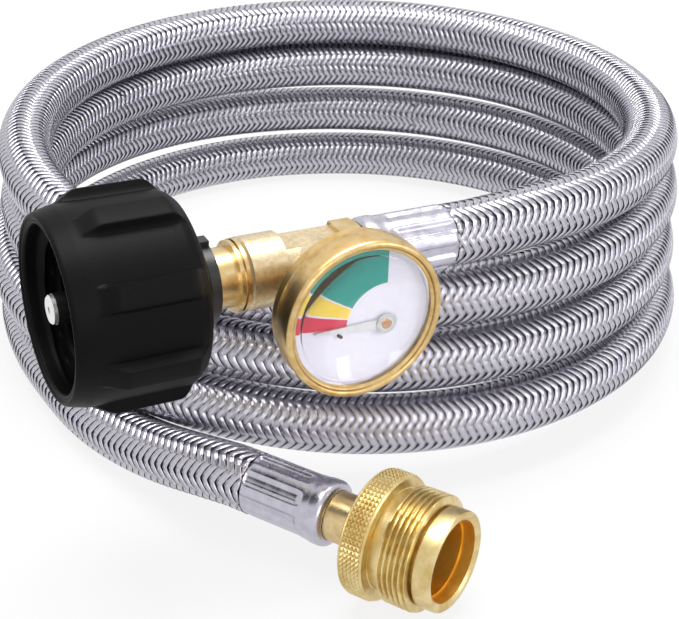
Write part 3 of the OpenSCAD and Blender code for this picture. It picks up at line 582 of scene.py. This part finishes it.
def brass_finish(name, axis, dark, pale, low, high, blotches, marks):
    """Brass: metallic 1, roughness from low to high, with so many blotches a millimetre.

    Marks is how strongly the turning lines, 4.2 a millimetre, stand out round the axis.
    """
    made, tree = blank_material(name)
    place = add(tree, "ShaderNodeTexCoord")
    cloud = add(tree, "ShaderNodeTexNoise", Vector=place.outputs["Object"], Scale=per_mm(blotches),
                Detail=5.0, Roughness=0.62)
    tone = add(tree, "ShaderNodeValToRGB", Fac=cloud.outputs["Fac"])
    tone.color_ramp.elements[0].position = 0.32
    tone.color_ramp.elements[0].color = srgb(dark)
    tone.color_ramp.elements[1].position = 0.62
    tone.color_ramp.elements[1].color = srgb(pale)
    haze = add(tree, "ShaderNodeMapRange", Value=cloud.outputs["Fac"], _1=0.3, _2=0.7, _3=high, _4=low)
    along = add(tree, "ShaderNodeVectorMath", {"operation": "DOT_PRODUCT"}, _0=place.outputs["Object"],
                _1=axis)
    lines = add(tree, "ShaderNodeTexNoise", {"noise_dimensions": "1D"}, W=along.outputs["Value"],
                Scale=per_mm(4.2), Detail=2.0)
    relief = add(tree, "ShaderNodeMath", {"operation": "MULTIPLY_ADD"}, _0=lines.outputs["Fac"], _1=marks,
                 _2=cloud.outputs["Fac"])
    bump = add(tree, "ShaderNodeBump", Height=relief.outputs[0], Strength=0.07, Distance=0.2 * MM)
    surface = add(tree, "ShaderNodeBsdfPrincipled", Base_Color=tone.outputs[0], Metallic=1.0,
                  Roughness=haze.outputs[0], Normal=bump.outputs[0])
    add(tree, "ShaderNodeOutputMaterial", Surface=surface.outputs[0])
    return made


# Forged brass is mottled by the forging's scale, about a millimetre a blotch, and gives
# a soft broken glow
forged_brass = brass_finish("forged_brass", inlet_axis, "#BFA882", "#DACBAC", 0.34, 0.46, 0.9, 0.1)
# Turned brass has lines of about a quarter millimetre, and gives bright rings
turned_brass = brass_finish("turned_brass", inlet_axis, "#C2A470", "#DEC898", 0.24, 0.34, 0.26, 0.5)
cad_finish(forged_brass, "tee_body")
cad_finish(turned_brass, "hose_insert_inlet", "inlet_nipple", "gauge_socket", "hose_insert_outlet")

# ---------- Flow check and nose ----------
# A small acetal poppet on a wire spring sits in the nipple and closes when gas rushes.
# A black sleeve and an aluminium tip with one orifice stand out of the nipple's end.


def grained_finish(name, dark, pale, grains, detail, relief, **shader):
    """A surface clouded and roughened by one fine grain, with so many grains a millimetre."""
    made, tree = blank_material(name)
    place = add(tree, "ShaderNodeTexCoord")
    grain = add(tree, "ShaderNodeTexNoise", Vector=place.outputs["Object"], Scale=per_mm(grains),
                Detail=detail)
    tone = add(tree, "ShaderNodeValToRGB", Fac=grain.outputs["Fac"])
    tone.color_ramp.elements[0].color = srgb(dark)
    tone.color_ramp.elements[1].color = srgb(pale)
    bump = add(tree, "ShaderNodeBump", Height=grain.outputs["Fac"], Strength=relief, Distance=0.1 * MM)
    surface = add(tree, "ShaderNodeBsdfPrincipled", Base_Color=tone.outputs[0], Normal=bump.outputs[0],
                  **shader)
    add(tree, "ShaderNodeOutputMaterial", Surface=surface.outputs[0])
    return made


def plastic_finish(name, dark, pale, roughness, grains, sheen=0.5):
    """Moulded plastic: IOR 1.5, with the mould's fine spark-eroded grain in colour and relief."""
    return grained_finish(name, dark, pale, grains, 3.0, 0.22, Roughness=roughness, IOR=1.5,
                          Specular_IOR_Level=sheen)


def plain_metal(name, dark, pale, roughness, grains):
    """A small metal part, slightly clouded: metallic 1."""
    return grained_finish(name, dark, pale, grains, 3.0, 0.08, Roughness=roughness, Metallic=1.0)


# Acetal is milky white with a waxy shine, and drawn wire shows one narrow glint
acetal = plastic_finish("moulded_acetal", "#D2D0C8", "#E6E4DC", 0.4, 1.5)
spring_wire = plain_metal("drawn_spring_wire", "#8E8E92", "#B8B8BE", 0.3, 1.8)
# Aluminium with a fine turned face reads as matt white under a soft light
turned_aluminium = plain_metal("turned_aluminium", "#DCDCDA", "#F4F4F2", 0.42, 1.5)
# Nylon without glass in it is black and a little glossier than the nut
black_sleeve = plastic_finish("moulded_nylon_sleeve", "#0B0B0C", "#171718", 0.36, 1.4)
cad_finish(acetal, "check_poppet")
cad_finish(spring_wire, "check_spring")
cad_finish(turned_brass, "check_guide")
cad_finish(black_sleeve, "nose_sleeve")
cad_finish(turned_aluminium, "nose_tip")

# ---------- Coupling nut ----------
# A hand nut moulded in glass-filled nylon, with eight grip ribs and a coarse Acme
# thread inside. It turns on a black bushing that softens and lets go in a fire.

# The glass filling leaves the nylon dull, so its sheen is far under a plain plastic's
nylon = plastic_finish("moulded_glass_filled_nylon", "#030304", "#080809", 0.5, 1.1, 0.09)
nut_around = 480
nut_angles = np.linspace(0, math.tau, nut_around, endpoint=False)
nut_rear, nut_front, nut_bore = 57.9, 88.4, 8.35
thread_root, thread_pitch, thread_depth = 16.7, 5.08, 2.4
rib_turn, rib_height, rib_width = math.radians(-16), 2.2, 5.0
half_spacing = math.pi / 8  # half the angle from one of the eight ribs to the next


def nut_ribs(place, radius):
    """Height of the ribs over the nut's body at one station, all the way round."""
    ramp = float(eased_step(61.9, 65.6, place) * eased_step(84.0, 78.6, place))
    gap = (nut_angles - rib_turn + half_spacing) % (2 * half_spacing) - half_spacing
    beside = np.abs(gap) * radius
    flank = eased_step(rib_width / 2 + 0.45, rib_width / 2 - 0.35, beside)
    return rib_height * ramp * flank


nut_outline = [
    (nut_rear, 9.9), (58.3, 10.5), (59.9, 15.0), (61.3, 18.3), (62.4, 19.35), (63.9, 19.9), (66.0, 20.0),
    (82.0, 20.0), (84.5, 19.8), (87.6, 19.0), (88.2, 18.75), (nut_front, 18.4),
]
nut_rows = [(nut_rear, nut_bore), (nut_rear, 9.9)]
# The rows lie close where the ribs begin and end, and far apart along their middle
for place in np.concatenate([np.linspace(58.0, 66.0, 27), np.linspace(66.6, 77.4, 10),
                             np.linspace(78.0, nut_front, 30)]):
    radius = float(np.interp(place, *zip(*nut_outline)))
    nut_rows.append((place, radius + nut_ribs(place, radius)))
nut_rows += [(88.35, 18.05), (88.05, 17.85), (87.95, 17.5), (88.1, 17.25), (88.0, 16.95), (87.7, 16.75)]
# Acme teeth are flat on top, with sloping flanks, and fade out at both ends of the thread
for place in np.linspace(87.5, 61.6, 84):
    lead = (place / thread_pitch - nut_angles / math.tau) % 1.0
    tooth = np.clip((0.37 - np.abs(lead - 0.5)) / 0.13, 0, 1)
    fade = float(eased_step(85.5, 81.5, place) * eased_step(61.8, 64.6, place))
    nut_rows.append((place, thread_root - thread_depth * tooth * fade))
nut_rows += [(61.4, 16.6), (61.4, nut_bore)]
hand_nut = turned_piece("acme_hand_nut", inlet_frame, nut_rows, nut_around, nylon, "nut",
                        38)
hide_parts("coupling_nut")
cad_finish(black_sleeve, "thermal_bushing")

# ---------- Gauge movement ----------
# A bronze Bourdon tube, brazed into the socket, uncurls with pressure and pulls a link.
# The link turns a toothed sector between two stamped brass plates, and that the pointer.

# Sheet brass as it was rolled has a plain yellow shine, and drawn bronze a redder one
stamped_brass = plain_metal("stamped_brass", "#B5924F", "#D9BC7A", 0.32, 0.7)
drawn_bronze = plain_metal("drawn_phosphor_bronze", "#9A6238", "#C48A58", 0.28, 0.5)
cad_finish(stamped_brass, "movement_back_plate", "movement_front_plate", "movement_pillars", "sector_gear",
           "movement_link")
cad_finish(drawn_bronze, "bourdon_tube")
cad_finish(spring_wire, "movement_screws", "pointer_arbor")

# ---------- Gauge case and bezel ----------
# The case is a pressed brass cup and the bezel a brass ring rolled over its edge. Both
# are gold lacquered; the bezel's turned-in lip holds the window down.

gauge_branch = 33.2  # from the ferrule's mouth to the middle of the tee's branch
gauge_frame = (inlet_frame @ Matrix.Translation((gauge_branch, 0, 0))
               @ Matrix.Rotation(math.radians(-90), 4, "X") @ Matrix.Rotation(math.radians(180), 4, "Z"))
dial_frame = gauge_frame @ Matrix.Rotation(math.radians(-90), 4, "Y")
gauge_axis = tuple(gauge_frame.to_3x3() @ Vector((0, 0, 1)))
# Lacquer over polished brass evens the colour out and gives a soft warm shine
gold = brass_finish("gold_lacquered_brass", gauge_axis, "#BE9A5C", "#D9BC86", 0.3, 0.4, 0.34, 0.2)
cad_finish(gold, "gauge_case")
bezel_rows = [
    (21.6, 16.32), (21.6, 16.85), (21.75, 16.9), (26.3, 16.9), (26.7, 16.84), (27.0, 16.67),
    (27.2, 16.42), (27.3, 16.12), (27.26, 15.85), (27.1, 15.62), (26.85, 15.5), (26.6, 15.42),
    (26.48, 15.2), (26.42, 14.86), (26.32, 14.78), (26.22, 14.84), (26.22, 15.26), (25.4, 15.26),
    (25.4, 16.32),
]
bezel = turned_piece("rolled_bezel", dial_frame, bezel_rows, 160, gold, "hose", 40)
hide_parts("bezel_ring")

# ---------- Dial and window ----------
# An aluminium disc in white enamel, printed with a green, a yellow and a red zone and
# left without words. A clear moulded window stands off it on a bright spacer ring.


def enamel(name, dark, pale, roughness):
    """Stoved enamel or printed ink on metal: IOR 1.5, with a faint orange-peel."""
    return grained_finish(name, dark, pale, 0.65, 2.0, 0.04, Roughness=roughness, IOR=1.5)


# The enamel is white with a slight lilac cast and a low shine, and the inks are plain on it
white_enamel = enamel("stoved_white_enamel", "#DAD8E6", "#E6E4EF", 0.4)
cad_finish(white_enamel, "dial_plate")
arbor = (5.5, -2.5)
dial_top, zone_inner, zone_outer = 24.0, 8.2, 14.6
ink_root, ink_height = 0.01, 0.05
for zone, start, stop, dark, pale in (
    ("full", 89.5, 150.0, "#16877C", "#1F9C90"), ("low", 151.6, 165.0, "#E8C63E", "#F4D858"),
    ("empty", 166.8, 177.5, "#C42340", "#DA2E4E"),
):
    inner, outer = [], []
    for turn in np.radians(np.linspace(start, stop, 49)):
        ray = np.array([math.cos(turn), math.sin(turn)])
        # How far the ray from the arbor runs before it meets the edge of the print
        toward = float(np.dot(arbor, ray))
        reach = -toward + math.sqrt(toward ** 2 - (arbor[0] ** 2 + arbor[1] ** 2 - zone_outer ** 2))
        inner.append(np.array(arbor) + zone_inner * ray)
        outer.append(np.array(arbor) + reach * ray)
    edge = inner + outer[::-1]
    count = len(edge)
    levels = (dial_top - ink_root, dial_top + ink_height)
    corners = [gauge_frame @ Vector((*xy, level)) * MM for level in levels for xy in edge]
    faces = []
    for k in range(len(inner) - 1):
        strip = (k, k + 1, count - 2 - k, count - 1 - k)
        faces += [strip[::-1], tuple(count + v for v in strip)]
    faces += [(k, (k + 1) % count, count + (k + 1) % count, count + k) for k in range(count)]
    mesh = bpy.data.meshes.new(f"dial_zone_{zone}")
    mesh.from_pydata(corners, [], faces)
    work = bmesh.new()
    work.from_mesh(mesh)
    bmesh.ops.recalc_face_normals(work, faces=work.faces)
    work.to_mesh(mesh)
    work.free()
    mesh.materials.append(enamel(f"printed_ink_{zone}", dark, pale, 0.45))
    print_zone = bpy.data.objects.new(f"dial_zone_{zone}", mesh)
    bpy.context.scene.collection.objects.link(print_zone)
    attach(print_zone, "hose")

# Bright rolled aluminium mirrors the dial and the bezel, and the heat-browned pin is dark
bright_ring = plain_metal("bright_rolled_aluminium", "#CFC8C8", "#F2EEEC", 0.14, 0.3)
cad_finish(bright_ring, "dial_spacer")
dark_steel = plain_metal("blued_steel", "#3A2418", "#5C3A26", 0.3, 0.9)
cad_finish(dark_steel, "stop_pin")

# Clear acrylic, moulded: IOR 1.49, with full transmission and ripples about a centimetre
# long. A shallow groove near its edge shows as a thin ring across the coloured zones.
acrylic, tree = blank_material("clear_moulded_acrylic")
place = add(tree, "ShaderNodeTexCoord")
ripple = add(tree, "ShaderNodeTexNoise", Vector=place.outputs["Object"], Scale=per_mm(0.09), Detail=1.0)
bump = add(tree, "ShaderNodeBump", Height=ripple.outputs["Fac"], Strength=0.02, Distance=0.2 * MM)
surface = add(tree, "ShaderNodeBsdfPrincipled", Base_Color=(1, 1, 1, 1), Roughness=0.02, IOR=1.49,
              Transmission_Weight=1.0, Normal=bump.outputs[0])
# Light from the lamps passes straight through to the dial
path = add(tree, "ShaderNodeLightPath")
open_air = add(tree, "ShaderNodeBsdfTransparent", Color=(1, 1, 1, 1))
glazed = add(tree, "ShaderNodeMixShader", _0=path.outputs["Is Shadow Ray"], _1=surface.outputs[0],
             _2=open_air.outputs[0])
add(tree, "ShaderNodeOutputMaterial", Surface=glazed.outputs[0])
window_rows = [
    (25.32, 0.0), (25.32, 15.05), (25.42, 15.2), (26.05, 15.2), (26.12, 15.1), (26.12, 14.2),
    (26.08, 14.1), (26.02, 14.0), (26.02, 13.6), (26.08, 13.5), (26.16, 13.3), (26.16, 0.0),
]
window = turned_piece("moulded_window", dial_frame, window_rows, 160, acrylic, "hose", 45)
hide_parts("gauge_lens")

# ---------- Pointer ----------
# A tapered pointer stamped in bright aluminium, pressed on the arbor under a grey hub
# cap with a copper-coloured pin in its middle.

# Stamped aluminium is pale with a satin shine, the hub cap greyer, and the pin a warm dot
pointer_sheet = plain_metal("stamped_bright_aluminium", "#D4D4D6", "#F2F2F2", 0.34, 0.9)
cad_finish(pointer_sheet, "pointer")
hub_frame = gauge_frame @ Matrix.Translation((*arbor, 0)) @ Matrix.Rotation(math.radians(-90), 4, "Y")
hub_grey = plain_metal("pressed_aluminium_hub", "#B9BDBB", "#DCE0DE", 0.38, 0.9)
copper = plain_metal("copper_pin", "#A9744F", "#E0B594", 0.28, 1.2)
turned_piece("pointer_hub_cap", hub_frame, [
    (24.76, 1.0), (24.76, 2.05), (24.84, 2.18), (24.95, 2.2), (25.04, 2.12), (25.08, 1.9),
    (25.0, 1.35), (25.0, 1.0),
], 96, hub_grey, "pointer")
turned_piece("pointer_pin", hub_frame, [
    (24.85, 0.0), (24.85, 1.12), (25.12, 1.12), (25.2, 1.0), (25.24, 0.7), (25.14, 0.4), (25.1, 0.0),
], 64, copper, "pointer")

# ---------- Outlet swivel ----------
# A knurled wheel with a fine 1 inch-20 thread, turned from brass bar in one piece. It
# spins on the hose's stem over a rubber ring, and a spring clip keeps it on.

# Turned brass a little yellower than the inlet's, with fainter turning lines
outlet_brass = brass_finish("turned_outlet_brass", outlet_axis, "#C4A868", "#DFCB96", 0.26, 0.36, 0.26, 0.4)
knurls, knurl_rows, knurl_depth, knurl_steps = 76, 5, 0.6, 6
knurled_length = 4.6
fine_pitch, fine_depth, fine_crest = 1.27, 0.9, 12.66
thread_start, thread_end = 38.3, 45.6
socket_radius, stem_radius, seal_radius, bore_radius = 5.65, 2.0, 7.4, 8.3
swivel_around = knurls * knurl_steps
swivel_angles = np.linspace(0, math.tau, swivel_around, endpoint=False)
around_peak = 1 - np.abs(2 * ((knurls * swivel_angles / math.tau) % 1.0) - 1)
swivel_rows = [(30.0, socket_radius), (30.0, 13.2), (30.35, 13.62)]
# Each knurl is a small pyramid: it rises to its middle both along the wheel and round it
for step in range(knurl_rows * knurl_steps + 1):
    place = wheel_rim + knurled_length * step / (knurl_rows * knurl_steps)
    along_peak = 1 - abs(2 * ((step / knurl_steps) % 1.0) - 1)
    swivel_rows.append((place, wheel_radius - knurl_depth * (1 - np.minimum(around_peak, along_peak))))
swivel_rows += [(35.45, 13.62), (35.8, 13.2), (35.8, 11.3), (35.95, 11.1), (thread_start, 11.1)]
# The thread's crests are cut flat, and it fades in and out
for place in np.arange(38.4, 45.45, fine_pitch / 8):
    lead = (place / fine_pitch - swivel_angles / math.tau) % 1.0
    crest = np.clip(1.5 * (1 - np.abs(2 * lead - 1)) - 0.12, 0, 1)
    fade = float(eased_step(thread_start, 39.0, place) * eased_step(thread_end, 44.8, place))
    swivel_rows.append((place, fine_crest - fine_depth * (1 - crest) - 0.3 * (1 - fade)))
swivel_rows += [
    (thread_end, 11.2), (45.65, 9.9), (46.2, 9.9), (46.25, 10.9), (49.3, 10.9), (49.8, 10.75),
    (50.1, 10.4), (50.1, 9.9), (49.9, 9.5), (49.5, 8.9), (46.7, 8.8), (46.7, bore_radius),
    (40.8, bore_radius), (40.8, seal_radius), (39.3, seal_radius), (39.3, stem_radius),
    (37.3, stem_radius), (37.3, socket_radius),
]
swivel = turned_piece("knurled_outlet_swivel", outlet_frame, swivel_rows, swivel_around, outlet_brass,
                      "outlet", 28)
# Bored brass, left by the drill: rougher than the outside. Its brighter, deeper amber is painted
# light, standing in for the glow of light that bounces inside. It covers the seal's seat and the bore,
# as far out as the lip's inner edge.
bore_start, bore_reach = 38.0, 8.95
bored_brass_painted_glow = brass_finish("bored_brass_painted_glow", outlet_axis, "#E3B040", "#F4C862", 0.42, 0.5, 0.26, 0.3)
swivel.data.materials.append(bored_brass_painted_glow)
from_outlet = outlet_frame.inverted()
# The faces inside the bore take the brass with the painted glow of bounced light
for face in swivel.data.polygons:
    spot = from_outlet @ (face.center / MM)
    if spot.x > bore_start and math.hypot(spot.y, spot.z) < bore_reach:
        face.material_index = 1
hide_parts("outlet_fitting")
# Nitrile rubber is dull black
seal_nitrile = plastic_finish("moulded_nitrile_seal", "#0C0C0D", "#1B1B1D", 0.62, 1.5)
cad_finish(seal_nitrile, "outlet_seal", "stem_o_ring")
cad_finish(spring_wire, "swivel_clip")
